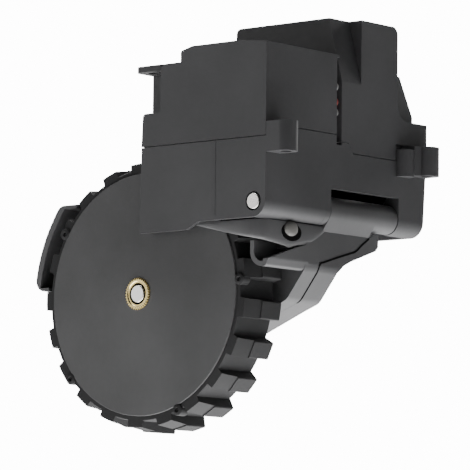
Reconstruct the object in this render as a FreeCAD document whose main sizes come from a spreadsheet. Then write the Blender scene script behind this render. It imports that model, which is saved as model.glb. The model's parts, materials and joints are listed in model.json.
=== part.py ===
import FreeCAD, Part
import math
import os
import Sketcher

App = FreeCAD

# Robot vacuum wheel module: a drive wheel on a sprung, geared swing arm in an open-bottomed housing.
# The sheet's sizes are in millimetres and degrees.
# They are measured from the wheel's hub end: X towards the arm's pivot, Y inboard, Z up.
# Every sub-part is then placed so that the origin is under the outboard screw boss.
SIZES = {
    # Wheel
    "tyre_bore_radius": 30.6,
    "tyre_wall": 2.7,
    "lug_height": 2.7,
    "tyre_face_y": 2.3,
    "tyre_back_y": 15.6,
    "near_lug_back_y": 8.2,
    "near_lug_fall": 1.2,
    "lug_count": 21.0,
    "lug_tip_angle": 7.6,
    "lug_foot_angle": 9.2,
    "lug_row_angle": 180.1,
    "lug_sink": 0.6,
    "lug_step": 0.35,
    "pip_count": 5.0,
    "pip_radius": 0.65,
    "pip_hole_radius": 0.35,
    "pip_height": 0.35,
    "disc_lap": 1.35,
    "disc_rim_y": 1.9,
    "disc_wall": 1.8,
    "disc_back_y": 15.0,
    "hub_radius": 7.0,
    "hub_back_y": 15.8,
    "insert_radius": 4.1,
    "insert_recess_radius": 2.85,
    "insert_recess_depth": 0.9,
    "insert_length": 5.0,
    "insert_proud": 0.15,
    "knurl_count": 40.0,
    "knurl_depth": 0.25,
    "axle_radius": 2.3,
    "axle_proud": 0.35,
    "axle_end_y": 33.4,
    # Pivot and housing
    "pivot_x": 41.6,
    "pivot_z": 21.4,
    "pin_radius": 2.05,
    "pin_fit": 0.05,
    "pin_start_y": -3.15,
    "pin_eye_radius": 2.5,
    "wall": 1.8,
    "face_y": -3.0,
    "end_x": 45.6,
    "back_y": 64.1,
    "back_wall": 3.5,
    "back_draft": 1.6,
    "skirt_x": 2.2,
    "skirt_z": 15.5,
    "skirt_draft": 1.0,
    "skirt_step_x": 21.5,
    "skirt_tilt_x": 28.2,
    "skirt_tilt_depth": 0.8,
    "seam_z": 38.0,
    "seam_front_z": 41.2,
    "seam_mid_z": 39.5,
    "seam_back_z": 36.9,
    "seam_gap": 0.2,
    "window_start_y": 23.7,
    "window_end_y": 52.1,
    "window_top_z": 27.0,
    "rib": 1.8,
    # Cover
    "step_low_x": 3.6,
    "step_low_z": 46.8,
    "step_mid_x": 9.6,
    "step_mid_z": 59.4,
    "box_x": 16.5,
    "box_top_z": 63.3,
    "box_fall": 1.0,
    "box_back_y": 25.8,
    "slot_start_y": 25.8,
    "slot_end_y": 27.8,
    "slot_bottom_z": 38.6,
    "slot_top_z": 61.6,
    "tower_x": 9.3,
    "tower_top_z": 72.7,
    "tower_lean": 4.6,
    "tower_lean_z": 55.5,
    "tower_lean_end_y": 35.9,
    "tower_end_y": 51.4,
    "tower_round": 2.2,
    "ledge_z": 47.8,
    "ledge_x": 41.7,
    "ledge_lean": 6.2,
    "well_x": -9.9,
    "well_y": 16.0,
    "well_wall": 1.0,
    "well_bottom_z": 43.0,
    "shelf_top_z": 61.8,
    "shelf_thickness": 1.6,
    "shelf_y": 8.6,
    "shelf_end_x": 1.0,
    # Screw bosses
    "boss_radius": 3.0,
    "boss_bore_radius": 1.5,
    "boss_x": 49.9,
    "boss_front_y": 0.0,
    "boss_front_z": 33.8,
    "boss_back_x": 48.6,
    "boss_back_y": 60.2,
    "boss_back_z": 33.4,
    "boss_height": 7.8,
    "bump_y": 53.7,
    "bump_x": 46.2,
    "bump_radius": 2.7,
    "bump_height": 7.2,
    "bump_z": 32.8,
    "shelf_hole_x": -6.2,
    "shelf_hole_y": 12.2,
    # Swing arm
    "case_y": 17.4,
    "case_seam_y": 23.0,
    "case_back_y": 31.0,
    "case_radius": 15.4,
    "case_wall": 1.6,
    "case_angle": 22.2,
    "barrel_radius": 3.9,
    "barrel_start_y": 24.0,
    "barrel_end_y": 51.8,
    "neck_end_y": 46.5,
    "neck_top_z": 16.9,
    "neck_bend_x": 31.5,
    "lip_y": 2.2,
    "lip_x": 36.4,
    "lip_end_x": 41.6,
    "lip_z": 5.2,
    "lip_top_z": 12.0,
    "lip_wall": 1.3,
    "neck_side": 0.9,
    "knuckle_y": 11.6,
    "stop_pin_x": 39.8,
    "stop_pin_z": 13.7,
    "stop_pin_radius": 1.8,
    "stop_pin_length": 4.5,
    "stop_pin_recess": 0.5,
    "guard_reach": 5.8,
    "guard_wall": 1.9,
    "guard_end_wall": 0.9,
    "guard_corner": 3.0,
    "guard_y": 5.0,
    "guard_room": 0.8,
    "guard_start_angle": 171.0,
    "guard_end_angle": 147.0,
    "guard_low_z": 3.0,
    "guard_top_rise": 3.034,
    "guard_inner_x": -25.0,
    # Gears: tooth counts, modules and widths
    "output_teeth": 32.0,
    "second_pinion_teeth": 12.0,
    "second_teeth": 40.0,
    "first_pinion_teeth": 11.0,
    "first_teeth": 45.0,
    "motor_teeth": 10.0,
    "output_module": 0.8,
    "second_module": 0.6,
    "first_module": 0.5,
    "second_angle": 25.0,
    "first_angle": 65.0,
    "motor_angle": 110.0,
    # Motor
    "motor_radius": 12.0,
    "motor_length": 25.0,
    "motor_cap_length": 2.4,
    "motor_cap_radius": 10.6,
    "motor_nose_radius": 3.5,
    "motor_shaft_radius": 1.0,
    "running_fit": 0.05,
    "gear_shaft_radius": 1.1,
    "output_gear_y": 19.5,
    "output_gear_width": 4.8,
    "second_gear_y": 24.8,
    "second_gear_width": 2.2,
    "first_gear_y": 27.4,
    "first_gear_width": 1.6,
    "bush_wall": 1.2,
    "screw_radius": 1.1,
    "screw_head_radius": 2.1,
    "screw_head_height": 1.3,
}

doc = App.newDocument("wheel_module")
sheet = doc.addObject("Spreadsheet::Sheet", "Sizes")


class Formula:
    """A size worked out from the sheet: its value now, and its text for an expression."""

    def __init__(self, value, text):
        self.value = value
        self.text = text

    def __add__(self, other):
        other = formula(other)
        return Formula(self.value + other.value, f"({self.text} + {other.text})")

    def __radd__(self, other):
        return formula(other) + self

    def __sub__(self, other):
        other = formula(other)
        return Formula(self.value - other.value, f"({self.text} - {other.text})")

    def __rsub__(self, other):
        return formula(other) - self

    def __mul__(self, other):
        other = formula(other)
        return Formula(self.value * other.value, f"({self.text} * {other.text})")

    def __rmul__(self, other):
        return formula(other) * self

    def __truediv__(self, other):
        other = formula(other)
        return Formula(self.value / other.value, f"({self.text} / {other.text})")

    def __rtruediv__(self, other):
        return formula(other) / self

    def __neg__(self):
        return Formula(-self.value, f"(-{self.text})")


def formula(number):
    """Make a formula of a plain number, and leave a formula as it is."""
    if isinstance(number, Formula):
        return number
    return Formula(float(number), f"({float(number)})")


def sine(angle):
    """Sine of an angle in degrees."""
    angle = formula(angle)
    return Formula(math.sin(math.radians(angle.value)), f"sin({angle.text} * 1 deg)")


def cosine(angle):
    """Cosine of an angle in degrees."""
    angle = formula(angle)
    return Formula(math.cos(math.radians(angle.value)), f"cos({angle.text} * 1 deg)")


class Sheet:
    """The driving sizes by name, such as S.wall."""


def fill_sheet():
    """Write the sizes into the sheet and give each one as a formula."""
    named = Sheet()
    for row, (name, number) in enumerate(SIZES.items(), start=1):
        sheet.set(f"A{row}", name)
        sheet.set(f"B{row}", str(number))
        sheet.setAlias(f"B{row}", name)
        setattr(named, name, Formula(number, f"Sizes.{name}"))
    return named


S = fill_sheet()
doc.recompute()
PARTS = []


def bind(target, place, size):
    """Tie a property of an object to a size."""
    target.setExpression(place, formula(size).text)


def seat(piece):
    """Place a finished sub-part so that the origin is under the outboard screw boss."""
    bind(piece, "Placement.Base.x", -S.boss_x)
    bind(piece, "Placement.Base.y", -S.boss_front_y)
    bind(piece, "Placement.Base.z", -S.boss_front_z)
    PARTS.append(piece)
    return piece


def new_body(label):
    """Start a sub-part made of sketches and features."""
    body = doc.addObject("PartDesign::Body", label)
    body.Label = label
    return seat(body)


def new_sketch(body, plane, level):
    """Start a sketch on an origin plane moved to a level: XZ to a Y, YZ to an X, XY to a Z."""
    sketch = body.newObject("Sketcher::SketchObject", "Profile")
    origin = [face for face in body.Origin.OriginFeatures if face.Role == plane + "_Plane"][0]
    sketch.AttachmentSupport = [(origin, "")]
    sketch.MapMode = "FlatFace"
    offset = -formula(level) if plane == "XZ" else formula(level)
    bind(sketch, "AttachmentOffset.Base.z", offset)
    return sketch


def fix_point(sketch, element, end, across, up):
    """Hold a point of a sketch at a distance from its origin."""
    for kind, size in (("DistanceX", formula(across)), ("DistanceY", formula(up))):
        rule = Sketcher.Constraint(kind, -1, 1, element, end, size.value)
        number = sketch.addConstraint(rule)
        bind(sketch, f"Constraints[{number}]", size)


def fix_radius(sketch, element, radius):
    """Hold the radius of a circle or an arc."""
    number = sketch.addConstraint(Sketcher.Constraint("Radius", element, formula(radius).value))
    bind(sketch, f"Constraints[{number}]", radius)


def rounded_corner(before, corner, after, radius):
    """Give the start, end, centre and turn of the arc that rounds a corner."""
    inward = (corner - before).normalize()
    outward = (after - corner).normalize()
    turn = inward.x * outward.y - inward.y * outward.x
    half = math.atan2(abs(turn), inward * outward) / 2
    reach = radius * math.tan(half)
    start = corner - inward * reach
    side = 1 if turn > 0 else -1
    centre = start + App.Vector(-inward.y, inward.x, 0) * radius * side
    return start, corner + outward * reach, centre, side


def outline(sketch, corners):
    """Draw a closed outline; a corner with a third value is rounded to that radius."""
    spots = [App.Vector(formula(c[0]).value, formula(c[1]).value, 0) for c in corners]
    count = len(corners)
    arcs = {}
    for i, corner in enumerate(corners):
        if len(corner) > 2:
            radius = formula(corner[2]).value
            arcs[i] = rounded_corner(spots[i - 1], spots[i], spots[(i + 1) % count], radius)
    lines = []
    for i in range(count):
        k = (i + 1) % count
        first = arcs[i][1] if i in arcs else spots[i]
        last = arcs[k][0] if k in arcs else spots[k]
        lines.append(sketch.addGeometry(Part.LineSegment(first, last), False))
    for i, corner in enumerate(corners):
        before = lines[i - 1]
        after = lines[i]
        if i not in arcs:
            sketch.addConstraint(Sketcher.Constraint("Coincident", before, 2, after, 1))
            fix_point(sketch, after, 1, corner[0], corner[1])
            continue
        start, end, centre, side = arcs[i]
        radius = formula(corner[2]).value
        first, last = (start, end) if side > 0 else (end, start)
        a = math.atan2(first.y - centre.y, first.x - centre.x)
        b = math.atan2(last.y - centre.y, last.x - centre.x)
        b += 2 * math.pi if b < a else 0
        circle = Part.Circle(centre, App.Vector(0, 0, 1), radius)
        arc = sketch.addGeometry(Part.ArcOfCircle(circle, a, b), False)
        near, far = (1, 2) if side > 0 else (2, 1)
        sketch.addConstraint(Sketcher.Constraint("Tangent", before, 2, arc, near))
        sketch.addConstraint(Sketcher.Constraint("Tangent", arc, far, after, 1))
        fix_radius(sketch, arc, corner[2])
        spot = sketch.addGeometry(Part.Point(spots[i]), True)
        sketch.addConstraint(Sketcher.Constraint("PointOnObject", spot, 1, before))
        sketch.addConstraint(Sketcher.Constraint("PointOnObject", spot, 1, after))
        fix_point(sketch, spot, 1, corner[0], corner[1])


def box_outline(sketch, left, bottom, right, top):
    """Draw an upright rectangle."""
    outline(sketch, [(left, bottom), (right, bottom), (right, top), (left, top)])


def circle(sketch, across, up, radius):
    """Draw a circle."""
    spot = App.Vector(formula(across).value, formula(up).value, 0)
    shape = Part.Circle(spot, App.Vector(0, 0, 1), formula(radius).value)
    element = sketch.addGeometry(shape, False)
    fix_point(sketch, element, 3, across, up)
    fix_radius(sketch, element, radius)


def extrude(body, sketch, plane, length, kind):
    """Pad or pocket a sketch along the positive axis."""
    feature = body.newObject("PartDesign::" + kind, kind)
    feature.Profile = sketch
    bind(feature, "Length", length)
    along = plane != "XZ"
    feature.Reversed = (kind == "Pad") != along
    return feature


def pad(body, plane, start, end, draw):
    """Add material between two levels; draw receives the sketch."""
    sketch = new_sketch(body, plane, start)
    draw(sketch)
    return extrude(body, sketch, plane, formula(end) - start, "Pad")


def cut(body, plane, start, end, draw):
    """Take material away between two levels; draw receives the sketch."""
    sketch = new_sketch(body, plane, start)
    draw(sketch)
    doc.recompute()
    before = body.Shape.Volume
    feature = extrude(body, sketch, plane, formula(end) - start, "Pocket")
    doc.recompute()
    if not body.Shape.Volume < before:
        raise RuntimeError(f"a cut of {body.Label} removes nothing")
    return feature


def polar(body, features, count):
    """Repeat features round the wheel's axis."""
    pattern = body.newObject("PartDesign::PolarPattern", "PolarPattern")
    pattern.Originals = features
    axis = [line for line in body.Origin.OriginFeatures if line.Role == "Y_Axis"][0]
    pattern.Axis = (axis, [""])
    pattern.Angle = 360
    bind(pattern, "Occurrences", count)
    body.Tip = pattern
    return pattern


def revolve(body, corners):
    """Turn an outline of axial and radial values round the wheel's axis."""
    sketch = new_sketch(body, "YZ", 0)
    outline(sketch, corners)
    turned = body.newObject("PartDesign::Revolution", "Revolution")
    turned.Profile = sketch
    turned.ReferenceAxis = (sketch, ["H_Axis"])
    turned.Angle = 360
    return turned


def turn_away(body, corners):
    """Cut a groove of axial and radial values round the wheel's axis."""
    sketch = new_sketch(body, "YZ", 0)
    outline(sketch, corners)
    turned = body.newObject("PartDesign::Groove", "Groove")
    turned.Profile = sketch
    turned.ReferenceAxis = (sketch, ["H_Axis"])
    turned.Angle = 360
    return turned


# Sizes that follow from the sheet
tyre_radius = S.tyre_bore_radius + S.tyre_wall
tread_radius = tyre_radius + S.lug_height
near_lug_tip_radius = tread_radius - S.near_lug_fall
guard_radius = tread_radius + S.guard_reach
guard_top_z = guard_radius * sine(S.guard_end_angle) + S.guard_top_rise
disc_radius = S.tyre_bore_radius + S.disc_lap
pip_ring_radius = disc_radius + S.pip_radius
inner_face_y = S.face_y + S.wall
inner_end_x = S.end_x - S.wall
inner_back_y = S.back_y - S.back_wall
hinge_round = S.end_x - S.pivot_x
sill_z = S.pivot_z - hinge_round
half_gap = S.seam_gap / 2
second_reach = S.output_module * (S.output_teeth + S.second_pinion_teeth) / 2
first_reach = S.second_module * (S.second_teeth + S.first_pinion_teeth) / 2
motor_reach = S.first_module * (S.first_teeth + S.motor_teeth) / 2
second_x = second_reach * cosine(S.second_angle)
second_z = second_reach * sine(S.second_angle)
first_x = second_x + first_reach * cosine(S.first_angle)
first_z = second_z + first_reach * sine(S.first_angle)
motor_x = first_x + motor_reach * cosine(S.motor_angle)
motor_z = first_z + motor_reach * sine(S.motor_angle)


def lower_housing():
    """Outboard skirt, end wall with the hinge window, inboard wall and two screw bosses."""
    body = new_body("lower_housing")
    pad(body, "XZ", S.face_y, inner_face_y, lambda s: outline(s, [
        (S.skirt_x, S.skirt_z),
        (S.skirt_step_x - 3, S.skirt_z, 3),
        (S.skirt_step_x + 1, sill_z, 1.5),
        (S.end_x, sill_z, hinge_round),
        (S.end_x, S.seam_z - half_gap),
        (S.skirt_x + S.skirt_draft, S.seam_z - half_gap),
    ]))
    pad(body, "XZ", inner_face_y, S.back_y, lambda s: outline(s, [
        (S.pivot_x - 1, sill_z),
        (S.end_x, sill_z, hinge_round),
        (S.end_x, S.seam_front_z - half_gap),
        (inner_end_x, S.seam_front_z - half_gap),
        (inner_end_x, sill_z + S.wall, hinge_round - S.wall),
        (S.pivot_x - 1, sill_z + S.wall),
    ]))
    cut(body, "YZ", inner_end_x - 1, S.end_x + 1, lambda s: outline(s, [
        (S.slot_start_y, S.slot_bottom_z),
        (S.slot_end_y, S.slot_bottom_z),
        (S.slot_end_y, S.seam_mid_z - half_gap),
        (S.slot_end_y + 3, S.seam_mid_z - half_gap),
        (S.slot_end_y + 5, S.seam_back_z - half_gap),
        (S.back_y + 1, S.seam_back_z - half_gap),
        (S.back_y + 1, S.seam_front_z + 1),
        (S.slot_start_y, S.seam_front_z + 1),
    ]))
    pad(body, "XZ", inner_back_y, S.back_y, lambda s: outline(s, [
        (S.box_x, sill_z + 4, 4),
        (S.pivot_x - 12, sill_z, 4),
        (S.end_x, sill_z, hinge_round),
        (S.end_x, S.seam_back_z - half_gap),
        (S.box_x, S.seam_back_z - half_gap),
    ]))
    for start in (S.window_start_y - S.rib, S.window_end_y):
        pad(body, "XZ", start, start + S.rib, lambda s: outline(s, [
            (S.pivot_x - hinge_round, sill_z, hinge_round - 0.1),
            (S.end_x, sill_z, hinge_round - 0.1),
            (S.end_x, S.window_top_z + 3),
            (inner_end_x, S.window_top_z + 3),
            (S.pivot_x - 1, S.pivot_z + hinge_round + 0.8),
            (S.pivot_x - hinge_round, S.pivot_z + 2),
        ]))
    cut(body, "YZ", S.pivot_x - 2 * hinge_round, S.end_x + 1, lambda s: box_outline(
        s, S.window_start_y, sill_z - 1, S.window_end_y, S.window_top_z))
    front_top = S.boss_front_z + S.boss_height
    pad(body, "XY", S.boss_front_z, front_top,
        lambda s: circle(s, S.boss_x, S.boss_front_y, S.boss_radius))
    pad(body, "XZ", S.face_y, S.boss_front_y + S.boss_radius, lambda s: outline(s, [
        (inner_end_x, S.boss_front_z),
        (S.boss_x, S.boss_front_z),
        (S.boss_x, front_top),
        (S.end_x + half_gap, front_top),
        (S.end_x + half_gap, S.seam_z - half_gap),
        (inner_end_x, S.seam_z - half_gap),
    ]))
    pad(body, "XY", S.bump_z, S.bump_z + S.bump_height,
        lambda s: circle(s, S.bump_x, S.bump_y, S.bump_radius))
    pad(body, "XY", S.boss_back_z, S.boss_back_z + S.boss_height, lambda s: outline(s, [
        (S.end_x - 0.5, S.bump_y),
        (S.bump_x + 1.9, S.bump_y + 1.9),
        (S.bump_x + 2.6, S.boss_back_y - 2.4),
        (S.boss_back_x + S.boss_radius, S.boss_back_y - 3.2, 2.6),
        (S.boss_back_x + S.boss_radius, S.back_y - 0.8, 2.2),
        (S.end_x - 0.5, S.back_y - 0.8),
    ]))
    cut(body, "XY", S.seam_back_z - half_gap, S.bump_z + S.bump_height + 2, lambda s: box_outline(
        s, inner_end_x - 1, S.bump_y - S.bump_radius - 1, S.end_x - 0.6, S.back_y + 1))
    cut(body, "XY", S.boss_front_z - 1, front_top + 1,
        lambda s: circle(s, S.boss_x, S.boss_front_y, S.boss_bore_radius))
    cut(body, "XY", S.boss_back_z - 1, S.boss_back_z + S.boss_height + 1,
        lambda s: circle(s, S.boss_back_x, S.boss_back_y, S.boss_bore_radius))
    cut(body, "XZ", S.face_y - 1, inner_face_y + 1,
        lambda s: circle(s, S.pivot_x, S.pivot_z, S.pin_eye_radius))
    cut(body, "XZ", inner_face_y, S.window_end_y + S.rib + 1,
        lambda s: circle(s, S.pivot_x, S.pivot_z, S.pin_radius))
    # The inboard wall has draft: it leans outboard towards the bottom.
    cut(body, "YZ", S.box_x - 1, S.boss_back_x + 5, lambda s: outline(s, [
        (S.back_y - S.back_draft, sill_z - 1),
        (S.back_y + 1, sill_z - 1),
        (S.back_y + 1, S.seam_z + 2),
        (S.back_y - 0.02, S.seam_z + 2),
    ]))
    # The skirt leans inboard below the seam, which leaves a faint upright edge.
    cut(body, "YZ", S.skirt_x - 1, S.skirt_tilt_x, lambda s: outline(s, [
        (S.face_y - 1, S.skirt_z - 1),
        (S.face_y + S.skirt_tilt_depth, S.skirt_z - 1),
        (S.face_y + 0.1, S.seam_z - half_gap),
        (S.face_y - 1, S.seam_z - half_gap),
    ]))
    return body


def upper_cover():
    """Stepped wheel-well wall, roofed box and the tall motor tower, open underneath."""
    body = new_body("upper_cover")
    roof = S.shelf_top_z - S.shelf_thickness
    box_end_z = S.box_top_z - S.box_fall
    pad(body, "XZ", S.face_y, inner_face_y, lambda s: outline(s, [
        (S.skirt_x + S.skirt_draft, S.seam_z + half_gap),
        (S.end_x, S.seam_z + half_gap),
        (S.end_x, box_end_z),
        (S.end_x - 9, S.box_top_z),
        (S.box_x + 4, S.box_top_z),
        (S.box_x, box_end_z, 0.8),
        (S.box_x, S.step_mid_z),
        (S.step_mid_x, S.step_mid_z, 1.8),
        (S.step_mid_x, S.step_low_z),
        (S.step_low_x, S.step_low_z, 1),
    ]))
    pad(body, "XZ", inner_face_y, S.slot_end_y + 1, lambda s: outline(s, [
        (S.box_x, S.seam_front_z + half_gap),
        (S.end_x, S.seam_front_z + half_gap),
        (S.end_x, box_end_z),
        (S.end_x - 9, S.box_top_z),
        (S.box_x + 4, S.box_top_z),
        (S.box_x, box_end_z, 0.8),
    ]))
    pad(body, "XY", S.well_bottom_z, S.shelf_top_z, lambda s: box_outline(
        s, S.well_x, S.well_y, S.end_x, S.back_y))
    pad(body, "XY", S.seam_back_z + half_gap, S.shelf_top_z, lambda s: box_outline(
        s, S.pivot_x - 2 * hinge_round, S.slot_end_y, S.end_x, S.back_y))
    pad(body, "XZ", S.slot_end_y, S.tower_end_y, lambda s: outline(s, [
        (S.tower_x, S.shelf_top_z - 2),
        (S.end_x, S.shelf_top_z - 2),
        (S.end_x, S.tower_top_z),
        (S.tower_x, S.tower_top_z, 1.5),
    ]))
    pad(body, "XY", roof, S.shelf_top_z, lambda s: outline(s, [
        (S.well_x, S.shelf_y, 2),
        (S.shelf_end_x, S.shelf_y, 2),
        (S.shelf_end_x, S.well_y + 1),
        (S.well_x, S.well_y + 1),
    ]))
    # Hollow the box, the motor bay and the tower from below.
    cut(body, "XY", S.seam_back_z - 1, box_end_z - S.wall, lambda s: box_outline(
        s, S.box_x - 1, inner_face_y, inner_end_x, S.box_back_y + 3))
    cut(body, "XZ", S.well_y + S.well_wall, S.tower_end_y - S.wall, lambda s: outline(s, [
        (S.well_x + S.wall, S.seam_back_z - 1),
        (inner_end_x, S.seam_back_z - 1),
        (inner_end_x, S.tower_lean_z),
        (inner_end_x - 1.3, roof),
        (S.well_x + S.wall, roof),
    ]))
    cut(body, "XZ", S.tower_end_y - S.wall - 1, inner_back_y, lambda s: outline(s, [
        (S.well_x + S.wall, S.seam_back_z - 1),
        (inner_end_x, S.seam_back_z - 1),
        (inner_end_x, S.ledge_z - S.wall),
        (S.ledge_x - S.wall, S.ledge_z - S.wall),
        (S.ledge_x - S.wall - S.ledge_lean * 0.8, roof),
        (S.well_x + S.wall, roof),
    ]))
    cut(body, "XY", S.seam_back_z, S.tower_top_z - S.wall, lambda s: box_outline(
        s, S.tower_x + S.wall, S.slot_end_y + S.wall, inner_end_x - S.tower_lean,
        S.tower_end_y - S.wall))
    # The end wall beside the slot leans back towards the top.
    cut(body, "XZ", S.slot_end_y - 1, S.tower_lean_end_y, lambda s: outline(s, [
        (S.end_x - 0.02, S.tower_lean_z),
        (S.end_x + 1, S.tower_lean_z),
        (S.end_x + 1, S.tower_top_z + 1),
        (S.end_x - S.tower_lean, S.tower_top_z + 1),
    ]))
    # Inboard of the tower the corner is cut back to a sloping wall above a ledge.
    cut(body, "XZ", S.tower_end_y + 4, S.back_y + 1, lambda s: outline(s, [
        (S.ledge_x, S.ledge_z),
        (S.end_x + 1, S.ledge_z),
        (S.end_x + 1, S.tower_top_z + 1),
        (S.ledge_x - S.ledge_lean, S.tower_top_z + 1),
        (S.ledge_x - S.ledge_lean, S.shelf_top_z + 2),
    ]))
    cut(body, "YZ", S.tower_x - 1, S.end_x + 1, lambda s: outline(s, [
        (S.tower_end_y, S.tower_top_z - 2 * S.tower_round),
        (S.tower_end_y, S.tower_top_z, S.tower_round),
        (S.tower_end_y - 2 * S.tower_round, S.tower_top_z),
        (S.tower_end_y - 2 * S.tower_round, S.tower_top_z + 1),
        (S.tower_end_y + 1, S.tower_top_z + 1),
        (S.tower_end_y + 1, S.tower_top_z - 2 * S.tower_round),
    ]))
    cut(body, "YZ", S.ledge_x - 1, S.end_x + 1, lambda s: outline(s, [
        (S.tower_end_y, S.ledge_z, 4.5),
        (S.back_y + 1, S.ledge_z),
        (S.back_y + 1, S.tower_top_z + 1),
        (S.tower_end_y, S.tower_top_z + 1),
    ]))
    cut(body, "YZ", inner_end_x - 1, S.end_x + 1, lambda s: outline(s, [
        (S.slot_end_y - 1, S.seam_back_z - 1),
        (S.slot_end_y + 5, S.seam_back_z - 1),
        (S.slot_end_y + 5, S.seam_back_z + half_gap),
        (S.slot_end_y + 3, S.seam_mid_z + half_gap),
        (S.slot_end_y - 1, S.seam_mid_z + half_gap),
    ]))
    cut(body, "YZ", inner_end_x - S.tower_lean, S.end_x + 1, lambda s: box_outline(
        s, S.slot_start_y, S.slot_bottom_z - 1, S.slot_end_y, S.slot_top_z))
    cut(body, "XY", S.seam_back_z, S.boss_back_z + S.boss_height + S.seam_gap,
        lambda s: box_outline(s, S.end_x - 0.7, S.bump_y - S.bump_radius - S.seam_gap,
                              S.boss_x, S.back_y + 1))
    cut(body, "XY", roof - 1, S.shelf_top_z + 1,
        lambda s: circle(s, S.shelf_hole_x, S.shelf_hole_y, S.boss_bore_radius))
    return body


def case_outline(sketch):
    """Gear case seen from outboard: round under the axle, flat below, up to the motor."""
    radius = S.case_radius
    low = -(radius * (1 + sine(S.case_angle)) / cosine(S.case_angle))
    right = first_x + S.first_module * S.first_teeth / 2 + 2.4
    outline(sketch, [
        (-radius, low, radius),
        (right, (right * sine(S.case_angle) - radius) / cosine(S.case_angle), 7),
        (right, first_z + 7.5, 5),
        (motor_x + 11.5, motor_z + 13, 6),
        (motor_x - 13, motor_z + 13, 12),
        (motor_x - 13, motor_z, 8),
        (-radius, 8, 8),
    ])


def neck_outline(sketch):
    """Neck between the gear case and the hinge barrel."""
    outline(sketch, [
        (S.neck_bend_x, -3.8),
        (S.neck_bend_x + 4.5, -2.1, 4),
        (S.pivot_x + S.neck_side - 0.2, 6.0, 4),
        (S.pivot_x + S.neck_side, S.neck_top_z),
        (S.neck_bend_x, S.neck_top_z),
    ])


def seam_line(gap, far_y):
    """Seam across the neck seen from the end: level at first, then rising to the barrel."""
    return [
        (S.case_seam_y + 2, 7.8 + formula(gap)),
        (S.case_seam_y + 6, 9.2 + formula(gap)),
        (S.case_seam_y + 15.2, 11.8 + formula(gap)),
        (S.case_seam_y + 16.4, 13.0 + formula(gap)),
        (S.case_seam_y + 21.3, 16.2 + formula(gap)),
        (far_y, 16.2 + formula(gap) + (formula(far_y) - S.case_seam_y - 21.3) * 0.62),
    ]


def arm_outer_half():
    """Outboard half of the swing arm: case floor, neck, hinge barrel, lip and mudguard."""
    body = new_body("arm_outer_half")
    case_right = first_x + S.first_module * S.first_teeth / 2 + 2.4
    pad(body, "XZ", S.case_y, S.case_seam_y, case_outline)
    pad(body, "XZ", S.case_y, S.neck_end_y, neck_outline)
    cut(body, "XY", -8, S.neck_top_z + 1, lambda s: box_outline(
        s, S.neck_bend_x - 1, S.case_seam_y, case_right + S.seam_gap, S.neck_end_y + 1))
    cut(body, "YZ", S.neck_bend_x - 1, S.pivot_x + 6, lambda s: outline(
        s, [(S.case_seam_y, -9), (S.case_seam_y, 7.8 + half_gap)]
        + seam_line(half_gap, S.neck_end_y + 2)
        + [(S.neck_end_y + 2, -9)]))
    pad(body, "XZ", S.barrel_start_y, S.case_seam_y + 20.2, lambda s: outline(s, [
        (S.pivot_x - 4.2, S.neck_top_z - 1),
        (S.pivot_x + S.neck_side, S.neck_top_z - 1),
        (S.pivot_x + 3.1, S.pivot_z - 2.4),
        (S.pivot_x - 3.6, S.pivot_z - 1.4),
    ]))
    pad(body, "XZ", S.barrel_start_y, S.barrel_end_y,
        lambda s: circle(s, S.pivot_x, S.pivot_z, S.barrel_radius))
    pad(body, "XZ", S.guard_y, S.case_y + S.case_wall, lambda s: guard_outline(s, 0))
    cut(body, "XZ", S.guard_y - 1, S.case_y, lambda s: guard_outline(s, 1))
    cut(body, "XZ", S.guard_y - 1, S.case_y,
        lambda s: circle(s, 0, 0, tread_radius + S.guard_room))
    pad(body, "XZ", S.case_y, S.case_y + S.case_wall, lambda s: box_outline(
        s, S.guard_inner_x - 1, S.guard_low_z, -S.case_radius + 2, 8))
    lip_outline(body)
    bores = ((0, 0, gear_room(S.output_module, S.output_teeth)),
             (second_x, second_z, gear_room(S.second_module, S.second_teeth)),
             (first_x, first_z, gear_room(S.first_module, S.first_teeth)))
    for across, up, radius in bores:
        cut(body, "XZ", S.case_y + S.case_wall, S.case_seam_y,
            lambda s: circle(s, across, up, radius))
    cut(body, "XZ", S.case_y - 1, S.case_seam_y + 1,
        lambda s: circle(s, 0, 0, S.axle_radius + 1.2))
    cut(body, "XZ", S.barrel_start_y - 8, S.barrel_end_y + 1,
        lambda s: circle(s, S.pivot_x, S.pivot_z, S.pin_radius + S.pin_fit))
    return body


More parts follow.
